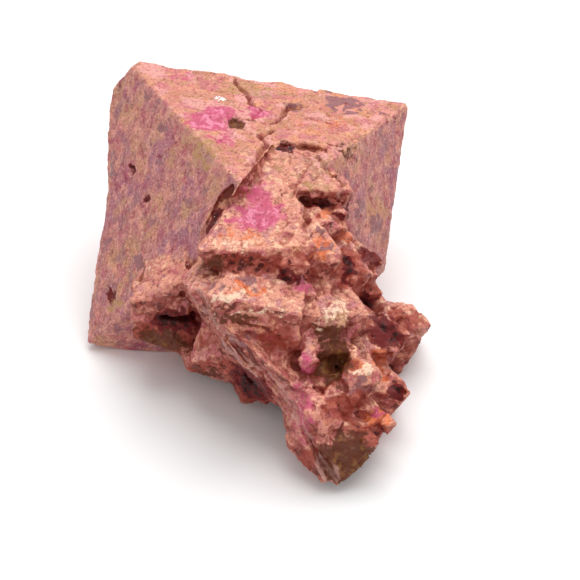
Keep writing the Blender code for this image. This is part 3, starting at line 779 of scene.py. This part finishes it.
@dataclass
class Skin:
    """The crust of the whole group: a dense mesh with its relief and its painted attributes."""

    voxel: float = 0.17
    rounding: int = 6  # how many times the corners are averaged before the relief goes on
    blending: int = 4  # how many times a weight is averaged
    facing: Span = (0.75, 0.92)  # how squarely skin on a face of the large octahedron faces out
    off_face: Span = (0.9, 0.4)  # how far it lies from that face
    swollen: Span = (12.0, 10.0)  # how far the swollen corner reaches
    base: Span = (0.02, 0.6)  # how high above the flat base the relief comes in
    growth_lines: float = 0.12  # how far growth lines stand up
    ragged: float = 0.25  # how far the borders of fissures and pits are frayed
    blotched: float = 0.9  # how far the borders of spots are frayed
    fine_rounds: int = 6  # how wide fine hollows are, in rounds of averaging
    fine_depth: float = 0.05  # how deep they are where they take their full painted shade
    broad_rounds: int = 60
    broad_depth: float = 0.5
    rays: int = 14  # how many rays look for what buries a corner, which sets its painted shade
    ray_reach: float = 6.0
    ray_blending: int = 2
    lit_tread: Span = (0.55, 0.9)  # how far up a face of the arm looks where it takes painted light
    shaded_riser: Span = (0.40, 0.05)  # how far up a face of the arm looks where it takes painted shade

    def dense_mesh(self, rough: BMesh) -> bpy.types.Mesh:
        """Turns the loose crystals of the rough group into one even mesh.

        Args:
            rough: The rough group.

        Returns:
            The dense mesh, in the growth frame.
        """
        mesh = bpy.data.meshes.new("skin")
        rough.to_mesh(mesh)
        draft = add_object("skin", mesh)
        remesh = draft.modifiers.new("even_mesh", "REMESH")
        remesh.mode = "VOXEL"
        remesh.voxel_size = self.voxel
        bpy.context.view_layer.update()
        evaluated = draft.evaluated_get(bpy.context.evaluated_depsgraph_get())
        dense = bpy.data.meshes.new_from_object(evaluated)
        bpy.data.objects.remove(draft)
        bpy.data.meshes.remove(mesh)
        return dense

    def face_weight(self, surface: Surface, signs: tuple[int, int, int]) -> Array:
        """Finds where the skin lies on one face of the large octahedron.

        Args:
            surface: The skin.
            signs: The side of each axis that the face is on.

        Returns:
            One weight from 0 to 1 for each corner.
        """
        normal = np.array(host_axes() @ Vector(signs).normalized())
        level = (surface.points - np.array(HOST_CENTRE)) @ normal
        plane = HOST_REACH / math.sqrt(3)
        facing = smooth_step(*self.facing, surface.normals @ normal)
        return facing * smooth_step(*self.off_face, np.abs(level - plane))

    def weigh(self, surface: Surface) -> None:
        """Finds where the skin lies on the large octahedron's upper face, and on its other faces.

        Args:
            surface: The skin, which keeps what is found.
        """
        signs = [(a, b, c) for a in (1, -1) for b in (1, -1) for c in (1, -1)]
        surface.top = surface.smoothed(self.face_weight(surface, signs[0]), self.blending)
        sides = sum(self.face_weight(surface, sign) for sign in signs[1:])
        distance = np.linalg.norm(surface.points - UPPER_LEFT_CORNER, axis=1)
        sides = surface.smoothed(np.maximum(sides, smooth_step(*self.swollen, distance)), self.blending)
        surface.sides = np.clip(sides, 0.0, 1.0 - surface.top)

    def heights(self, points: Array, relief: Relief, fall: Vector) -> Array:
        """The relief of one kind of face, in millimetres above the plain surface.

        Args:
            points: Where to read it.
            relief: How rough the faces are.
            fall: The direction that streaks run in.

        Returns:
            One height for each point.
        """
        bent = fractal(points, BENT)[:, None]
        total = relief.swell * fractal(points, SWELL)
        total += relief.lumps * fractal(points, LUMPS)
        for size, place, bend in PLATES:
            total += relief.plates * plates(points + bent * bend, size, place) / len(PLATES)
        total += relief.grain * fractal(points, GRAIN)
        if relief.streaks:
            total += relief.streaks * fractal(stretched(points, fall, STREAK_DRAW), STREAKS)
        return total

    def striae(self, points: Array) -> Array:
        """Finds where fine growth lines stand up.

        Args:
            points: Corners of the skin.

        Returns:
            One height for each corner, from 0 to 1 at the crests.
        """
        crests = np.zeros(len(points))
        for lines in STRIAE:
            path = np.array(lines.path)
            weight = smooth_step(*lines.radius * LINE_BORDER, chain_distance(points, path))
            near = np.flatnonzero(weight)
            along = Vector(path[-1] - path[0]).normalized()
            cloud = fractal(stretched(points[near], along, LINE_DRAW), GROWTH_LINES)
            crests[near] = np.maximum(crests[near], weight[near] * (LINE_LEVEL + LINE_CONTRAST * cloud))
        return np.clip(crests, 0.0, 1.0)

    def fissures(self, points: Array) -> Array:
        """Finds where the skin lies in a fissure, whose floor takes painted shade.

        Args:
            points: Corners of the skin.

        Returns:
            One weight from 0 to 1 for each corner.
        """
        dark = np.zeros(len(points))
        ragged = frayed(points, self.ragged, RAGGED)
        for groove in GROOVES:
            distance = chain_distance(ragged, np.array(groove.points))
            dark = np.maximum(dark, smooth_step(*groove.width * FISSURE_SHADE_BORDER, distance))
        return dark

    def shape(self, surface: Surface) -> None:
        """Gives the skin its relief, its fissures and its pits, and keeps its base flat.

        Args:
            surface: The weighed skin.
        """
        fall = fall_line()
        surface.move_to(surface.smoothed(surface.points, self.rounding))
        heights = np.zeros(len(surface.points))
        arm = 1.0 - surface.top - surface.sides
        for weight, relief in ((surface.top, TOP_RELIEF), (surface.sides, SIDE_RELIEF), (arm, ARM_RELIEF)):
            here = np.flatnonzero(weight > LEAST_WEIGHT)
            heights[here] += weight[here] * self.heights(surface.points[here], relief, fall)
        heights += self.growth_lines * self.striae(surface.points)
        ragged = frayed(surface.points, self.ragged, RAGGED)
        for groove in GROOVES:
            distance = chain_distance(ragged, np.array(groove.points))
            heights -= groove.depth * smooth_step(*groove.width * GROOVE_BORDER, distance)
        for pit in PITS:
            distance = np.linalg.norm(ragged - np.array(pit.centre), axis=1)
            heights -= pit.depth * smooth_step(*pit.radius * PIT_BORDER, distance)
        world = np.array(to_world())
        level = surface.points @ world[2, :3] / MM + world[2, 3] / MM
        heights *= smooth_step(*self.base, level)
        surface.move_to(surface.points + surface.normals * heights[:, None])

    def paint(self, surface: Surface) -> None:
        """Writes the attributes that the crust's finish and the cut pieces read.

        Args:
            surface: The shaped skin.
        """
        points = surface.points
        # Corners under their smoothed surroundings take painted shade, corners above it a painted highlight.
        hollow_shade = surface.hollowness(self.fine_rounds) / self.fine_depth
        hollow_shade += surface.hollowness(self.broad_rounds) / self.broad_depth
        blotched = frayed(points, self.blotched, BLOTCHED)
        # How squarely each corner faces up in the world: the arm's upward faces take painted light, its
        # downward faces painted shade.
        upward = surface.normals @ np.array(to_world().to_3x3().normalized())[2]
        upward = surface.smoothed(upward, self.blending)
        openness = surface.smoothed(surface.openness(self.rays, self.ray_reach), self.ray_blending)
        arm = 1.0 - surface.top - surface.sides
        painted = {
            "top": surface.top,
            "sides": surface.sides,
            # Painted shade, deeper where more of the group closes round a corner.
            "buried_shade": 1.0 - openness,
            "hollow_shade": np.clip(hollow_shade, 0.0, 1.0),
            "ridge": np.clip(-hollow_shade, 0.0, 1.0),
            "lit_tread": arm * smooth_step(*self.lit_tread, upward),
            "shaded_riser": arm * smooth_step(*self.shaded_riser, upward),
            "striae": self.striae(points),
            # Where fissures take painted shade.
            "fissure": self.fissures(points),
            "arm": arm,
        }
        for hue, patches in SPOTS.items():
            weight = np.zeros(len(points))
            for spot in patches:
                deep = max(spot.across, spot.up) * SPOT_DEPTH
                offset = (blotched - np.array(spot.centre)) / np.array((spot.across, deep, spot.up))
                reach = np.linalg.norm(offset, axis=1)
                weight = np.maximum(weight, spot.strength * smooth_step(*SPOT_BORDER, reach))
            painted[hue.value] = weight
        for name, values in painted.items():
            attribute = surface.mesh.attributes.new(name, "FLOAT", "POINT")
            attribute.data.foreach_set("value", values.astype(np.float32))
        attribute = surface.mesh.attributes.new("whole_normal", "FLOAT_VECTOR", "POINT")
        attribute.data.foreach_set("vector", surface.normals.astype(np.float32).ravel())

    def close(self, bm: BMesh) -> None:
        """Puts a flat lid on each open rim of a cut mesh, wound like the skin that it joins.

        Args:
            bm: The cut mesh.
        """
        rim = [edge for edge in bm.edges if edge.is_boundary]
        lids = bmesh.ops.holes_fill(bm, edges=rim)["faces"]
        for lid in lids:
            if lid.loops[0].link_loop_radial_next.vert is lid.loops[0].vert:
                lid.normal_flip()
        bmesh.ops.triangulate(bm, faces=lids, ngon_method="EAR_CLIP")

    def quarter(self, mesh: bpy.types.Mesh, part: Quarter) -> bpy.types.Object:
        """Cuts one quarter out of the finished skin and closes it.

        Args:
            mesh: The finished skin.
            part: The quarter.

        Returns:
            The quarter as a piece, in the world frame.
        """
        bm = bmesh.new()
        bm.from_mesh(mesh)
        axes = host_axes()
        for axis, sign in enumerate(part.signs):
            if sign == 0:
                continue
            bmesh.ops.bisect_plane(
                bm, geom=bm.verts[:] + bm.edges[:] + bm.faces[:], dist=CUT_SNAP,
                plane_co=HOST_CENTRE, plane_no=axes.col[axis] * sign, clear_inner=True,
            )
            self.close(bm)
        bm.transform(to_world())
        for vert in bm.verts:
            vert.co.z = max(vert.co.z, 0.0)
        for face in bm.faces:
            face.smooth = True
        cutout = bpy.data.meshes.new(part.name)
        bm.to_mesh(cutout)
        bm.free()
        normals = np.zeros(len(cutout.vertices) * 3)
        cutout.attributes["whole_normal"].data.foreach_get("vector", normals)
        normals = normals.reshape(-1, 3) @ np.array(to_world().to_3x3().normalized()).T
        cutout.normals_split_custom_set_from_vertices(normals.tolist())
        cutout.attributes.remove(cutout.attributes["whole_normal"])
        return add_object(part.name, cutout)

    def build(self, rough: BMesh, material: bpy.types.Material) -> list[bpy.types.Object]:
        """Makes the finished pieces.

        Args:
            rough: The rough group that it covers.
            material: The crust's finish.

        Returns:
            The pieces, in the world frame.
        """
        mesh = self.dense_mesh(rough)
        LOG.info("skin: %d corners", len(mesh.vertices))
        surface = Surface(mesh)
        self.weigh(surface)
        self.shape(surface)
        LOG.info("shaped")
        self.paint(surface)
        LOG.info("painted")
        pieces = [self.quarter(mesh, part) for part in QUARTERS]
        for piece in pieces:
            piece.data.materials.clear()
            piece.data.materials.append(material)
        return pieces


def add_node(tree: bpy.types.NodeTree, kind: str, settings: dict, inputs: dict) -> bpy.types.Node:
    """Adds a shader node.

    Args:
        tree: The tree that it goes in.
        kind: Its type, such as "ShaderNodeTexNoise".
        settings: Its own properties.
        inputs: For each input's name or number, a value or the socket that is linked to it.

    Returns:
        The new node.
    """
    node = tree.nodes.new(kind)
    for name, value in settings.items():
        setattr(node, name, value)
    for name, value in inputs.items():
        if isinstance(value, bpy.types.NodeSocket):
            tree.links.new(value, node.inputs[name])
        else:
            node.inputs[name].default_value = value
    return node


@dataclass(frozen=True)
class Layer:
    """A coat of colour over those before it, broken up by a cloudy pattern.

    Where the coat names an attribute of the skin, the pattern frays the attribute's borders. Otherwise the
    pattern alone says where the coat lies.
    """

    tone: str
    size: float  # the width of the pattern's lumps, in millimetres
    low: float
    high: float
    share: float = 1.0
    where: str = ""
    fray: float = 1.0
    streaked: bool = False


@dataclass(frozen=True)
class CrustFinish:
    """Natural spinel, as it grew, under a weathered crust of iron-stained clay minerals.

    The crust gives the eye a dull, granular, mottled salmon skin. Where it is thin the pink spinel shows
    through, waxy rather than glassy. Hollows, fissures and recesses are darkened with painted shade, and the
    arm's downward faces with painted shade and some of the stone's own darker red; ridges and the arm's
    upward faces are lightened with painted light, and white specks are painted glints.
    """

    name: str = "crusted_pink_spinel"
    base: str = "#CE8A78"
    streak_length: float = 1.5  # how many times longer than wide a streaked coat's clouds are
    cloud_detail: float = 4.0
    cloud_roughness: float = 0.55
    waxy: float = 0.35  # the roughness of thin crust
    dull: float = 0.75  # the roughness of thick crust
    waxy_patch: float = 1.2  # how wide a patch of one gloss is, in millimetres
    grain: float = 0.3  # how wide grains are, in millimetres
    grain_depth: float = 0.2
    grain_strength: float = 0.6
    ior: float = 1.5
    specular: float = 0.3
    layers: tuple[Layer, ...] = (
        Layer("#E2948C", 4.0, 0.44, 0.56, 0.9),
        Layer("#E29C6C", 2.6, 0.50, 0.60, 0.8),
        Layer("#A07460", 2.8, 0.53, 0.64, 0.7),
        Layer("#C45C72", 1.7, 0.53, 0.64, 0.7),
        Layer("#F8C29E", 0.9, 0.53, 0.64, 0.8),
        Layer("#90505A", 1.1, 0.55, 0.66, 0.65),
        Layer("#DE8F74", 2.5, 0.50, 1.10, 0.5, "top", 2.0),
        Layer("#C08462", 1.8, 1.04, 1.18, 0.7, "top", 2.4),
        Layer("#EAA49E", 3.0, 1.02, 1.16, 0.8, "top", 2.4),
        Layer("#C66A78", 2.0, 1.10, 1.24, 0.6, "top", 2.4),
        Layer("#B46E6E", 2.4, 0.50, 0.90, 0.65, "sides", 2.6, True),
        Layer("#A8667A", 5.0, 0.92, 1.28, 0.75, "sides", 2.4),
        Layer("#C28C68", 4.0, 0.98, 1.32, 0.85, "sides", 2.4),
        Layer("#90606C", 1.5, 1.02, 1.34, 0.7, "sides", 2.2, True),
        Layer("#E29A88", 1.0, 0.98, 1.34, 0.7, "sides", 2.4, True),
        Layer("#A4405A", 1.6, 1.06, 1.34, 0.55, "sides", 2.4),
        Layer("#CE7866", 1.8, 0.50, 1.15, 0.7, "arm", 2.0),
        Layer("#C4606C", 1.4, 0.94, 1.22, 0.7, "arm", 2.4),
        # Painted light on the arm's upward faces.
        Layer("#EAA288", 2.0, 0.45, 1.00, 0.75, "lit_tread", 2.0),
        Layer("#C07C80", 2.2, 1.02, 1.20, 0.75, "lit_tread", 2.4),
        Layer("#FFC8A4", 1.0, 1.05, 1.25, 0.8, "lit_tread", 2.6),
        Layer("#FFDCC4", 0.22, 0.56, 0.67, 0.4),
        Layer("#66303A", 0.42, 0.60, 0.68, 0.5),
        # Painted shade on the arm's downward faces, with some of the crystals' own darker red.
        Layer("#9A463A", 1.2, 0.30, 0.75, 0.82, "shaded_riser", 1.8),
        Layer("#C47A70", 0.9, 0.98, 1.20, 0.75, "shaded_riser", 2.4),
        Layer("#52100C", 1.1, 0.98, 1.20, 0.75, "shaded_riser", 2.4),
        # Painted shade in creases and hollows.
        Layer("#88402E", 0.5, 0.45, 1.00, 0.6, "hollow_shade", 1.0),
        Layer("#B88E6C", 0.9, 0.45, 1.05, 0.6, "olive_tan", 2.0),
        Layer("#B88A50", 0.9, 0.92, 1.15, 0.6, "olive_tan", 2.6),
        Layer("#E8763E", 0.8, 0.40, 0.90, 0.8, "salmon_orange", 2.2),
        Layer("#966468", 1.0, 0.45, 0.70, 0.92, "grey_mauve", 2.0),
        # Painted highlight along ridges and lips.
        Layer("#F4B694", 0.5, 0.60, 1.20, 0.4, "ridge", 1.4),
        # Painted shade in recesses.
        Layer("#882E22", 0.8, 0.15, 0.65, 0.76, "buried_shade", 1.0),
        Layer("#9C3C2C", 0.9, 0.15, 0.60, 0.84, "brick_red", 1.6),
        Layer("#400806", 0.8, 0.80, 1.08, 0.9, "brick_red", 2.4),
        Layer("#CC6C5E", 0.7, 0.98, 1.20, 0.75, "brick_red", 2.6),
        Layer("#CC5478", 1.2, 0.25, 0.85, 0.92, "clear_pink", 1.8),
        Layer("#F294AE", 0.7, 0.90, 1.22, 0.8, "clear_pink", 2.6),
        Layer("#602C10", 0.6, 0.20, 0.60, 0.95, "iron_ochre", 1.8),
        Layer("#A27034", 0.9, 0.94, 1.22, 0.42, "iron_ochre", 2.6),
        # Pale patches, partly the crust's own colour and partly painted highlights on lips and edges.
        Layer("#FFDABC", 0.5, 0.45, 0.90, 0.9, "pale_cream_highlight", 2.4),
        Layer("#CF9C92", 0.5, 0.35, 0.90, 0.65, "striae", 0.8),
        # Painted shade along fissures.
        Layer("#803A24", 0.4, 0.40, 0.95, 0.8, "fissure", 1.0),
        Layer("#7E3A30", 0.30, 0.54, 0.66, 0.5),
        # Painted shade in recesses, cracks and pits.
        Layer("#6A1010", 0.8, 0.15, 0.50, 0.97, "deep_maroon_shade", 1.6),
        Layer("#260303", 0.7, 0.70, 1.05, 0.85, "deep_maroon_shade", 2.4),
        # Painted glints: white specks where small facets would catch the light.
        Layer("#FFF6F0", 0.30, 1.42, 1.46, 1.0, "painted_glints", 2.6),
    )

    def add_layer(
        self, tree: bpy.types.NodeTree, under: bpy.types.NodeSocket, layer: Layer
    ) -> bpy.types.NodeSocket:
        """Lays one coat over the colour so far.

        Args:
            tree: The material's nodes.
            under: The colour so far.
            layer: The coat.

        Returns:
            The colour with the coat on it.
        """
        source, socket = ("streaked_place", "Vector") if layer.streaked else ("place", "Object")
        inputs = {
            "Vector": tree.nodes[source].outputs[socket], "Scale": 1.0 / (layer.size * MM),
            "Detail": self.cloud_detail, "Roughness": self.cloud_roughness,
        }
        amount = add_node(tree, "ShaderNodeTexNoise", {}, inputs).outputs["Fac"]
        if layer.where:
            skin = add_node(tree, "ShaderNodeAttribute", {"attribute_name": layer.where}, {}).outputs["Fac"]
            centred = add_node(tree, "ShaderNodeMath", {"operation": "SUBTRACT"}, {0: amount, 1: 0.5})
            inputs = {0: centred.outputs[0], 1: layer.fray, 2: skin}
            amount = add_node(tree, "ShaderNodeMath", {"operation": "MULTIPLY_ADD"}, inputs).outputs[0]
        inputs = {"Value": amount, "From Min": layer.low, "From Max": layer.high, "To Max": layer.share}
        spread = add_node(tree, "ShaderNodeMapRange", {"interpolation_type": "SMOOTHSTEP"}, inputs)
        # A Mix node's colours are its inputs 6 and 7 and its output 2.
        inputs = {0: spread.outputs["Result"], 6: under, 7: linear(layer.tone)}
        return add_node(tree, "ShaderNodeMix", {"data_type": "RGBA"}, inputs).outputs[2]

    def make(self) -> bpy.types.Material:
        """Builds the material.

        Returns:
            The material, which reads the skin's painted attributes.
        """
        material = bpy.data.materials.new(self.name)
        material.use_nodes = True
        tree = material.node_tree
        shader = tree.nodes["Principled BSDF"]
        place = add_node(tree, "ShaderNodeTexCoord", {"name": "place"}, {}).outputs["Object"]
        along = fall_line()
        across = along.cross(host_axes().col[2])
        streaks = Matrix((along, across, along.cross(across))).transposed()
        turn = (Matrix.Rotation(-REST_TILT, 3, "X") @ streaks).to_euler()
        add_node(
            tree, "ShaderNodeMapping", {"name": "streaked_place", "vector_type": "TEXTURE"},
            {"Vector": place, "Rotation": turn, "Scale": (self.streak_length, 1.0, 1.0)},
        )
        colour = linear(self.base)
        for layer in self.layers:
            colour = self.add_layer(tree, colour, layer)
        tree.links.new(colour, shader.inputs["Base Color"])
        inputs = {"Vector": place, "Scale": 1.0 / (self.waxy_patch * MM), "Detail": 3.0}
        cloud = add_node(tree, "ShaderNodeTexNoise", {}, inputs).outputs["Fac"]
        inputs = {
            "Value": cloud, "From Min": 0.35, "From Max": 0.65, "To Min": self.waxy, "To Max": self.dull,
        }
        gloss = add_node(tree, "ShaderNodeMapRange", {}, inputs)
        tree.links.new(gloss.outputs["Result"], shader.inputs["Roughness"])
        inputs = {"Vector": place, "Scale": 1.0 / (self.grain * MM), "Detail": 3.0, "Roughness": 0.7}
        grain = add_node(tree, "ShaderNodeTexNoise", {}, inputs).outputs["Fac"]
        inputs = {"Height": grain, "Strength": self.grain_strength, "Distance": self.grain_depth * MM}
        relief = add_node(tree, "ShaderNodeBump", {}, inputs)
        tree.links.new(relief.outputs["Normal"], shader.inputs["Normal"])
        shader.inputs["IOR"].default_value = self.ior
        shader.inputs["Specular IOR Level"].default_value = self.specular
        return material


@dataclass(frozen=True)
class Studio:
    """The pale floor, the soft overhead light and the camera.

    The eye's distance is in millimetres, and the lamp's place and side and the floor's side are in metres.
    """

    eye_distance: float = 220.0
    frame_half_width: float = 290.0
    pixels_per_mm: float = 8.33
    sensor: float = 36.0
    clip_start: float = 0.005
    floor_side: float = 3.0
    paper: str = "#FBFBFB"
    paper_roughness: float = 0.9
    sky: float = 0.69
    lamp_place: Point = (0.06, 0.10, 0.42)
    lamp_side: float = 0.38
    lamp_power: float = 1.40

    def add_floor(self) -> None:
        """A pale matt floor under the group."""
        bm = bmesh.new()
        bmesh.ops.create_grid(bm, x_segments=1, y_segments=1, size=self.floor_side / 2)
        mesh = bpy.data.meshes.new("floor")
        bm.to_mesh(mesh)
        bm.free()
        # Uncoated white paper, which gives the eye an even white with soft shadows and no gloss.
        material = bpy.data.materials.new("white_paper")
        material.use_nodes = True
        shader = material.node_tree.nodes["Principled BSDF"]
        shader.inputs["Base Color"].default_value = linear(self.paper)
        shader.inputs["Roughness"].default_value = self.paper_roughness
        mesh.materials.append(material)
        add_object("floor", mesh)

    def add_lamp(self) -> None:
        """A square soft light overhead that points at the group."""
        light = bpy.data.lights.new("overhead", "AREA")
        light.size = self.lamp_side
        light.energy = self.lamp_power
        lamp = add_object("overhead", light)
        lamp.location = self.lamp_place
        lamp.rotation_euler = (-Vector(self.lamp_place)).to_track_quat("-Z", "Y").to_euler()

    def add_sky(self) -> None:
        """Even white light from all round."""
        world = bpy.data.worlds.new("studio")
        world.use_nodes = True
        backdrop = world.node_tree.nodes["Background"]
        backdrop.inputs["Color"].default_value = linear("#FFFFFF")
        backdrop.inputs["Strength"].default_value = self.sky
        bpy.context.scene.world = world

    def add_camera(self) -> None:
        """The camera, which looks straight into the growth frame."""
        camera = bpy.data.cameras.new("camera")
        camera.sensor_width = self.sensor
        camera.lens = self.sensor / 2 * self.eye_distance * self.pixels_per_mm / self.frame_half_width
        camera.clip_start = self.clip_start
        holder = add_object("camera", camera)
        lie_back = Matrix.Rotation(-REST_TILT, 3, "X")
        eye = GROWTH_ORIGIN + lie_back @ Vector((0, -self.eye_distance, 0))
        holder.location = eye * MM
        holder.rotation_euler = (math.pi / 2 - REST_TILT, 0, 0)
        bpy.context.scene.camera = holder

    def build(self) -> None:
        """Sets up the whole studio."""
        self.add_floor()
        self.add_sky()
        self.add_lamp()
        self.add_camera()
        bpy.context.scene.view_settings.view_transform = "Standard"


def main() -> None:
    """Builds the skins, dresses them and sets up the studio."""
    logging.basicConfig(level=logging.INFO, format="%(asctime)s %(name)s: %(message)s")
    rough = RoughGroup(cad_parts[NODE]).build()
    LOG.info("rough group: %d faces", len(rough.faces))
    for piece in Skin().build(rough, CrustFinish().make()):
        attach(piece, BODY)
        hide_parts(NODE)
        LOG.info("%s: %d triangles", piece.name, sum(len(face.vertices) - 2 for face in piece.data.polygons))
    rough.free()
    Studio().build()


if __name__ == "__main__":
    main()
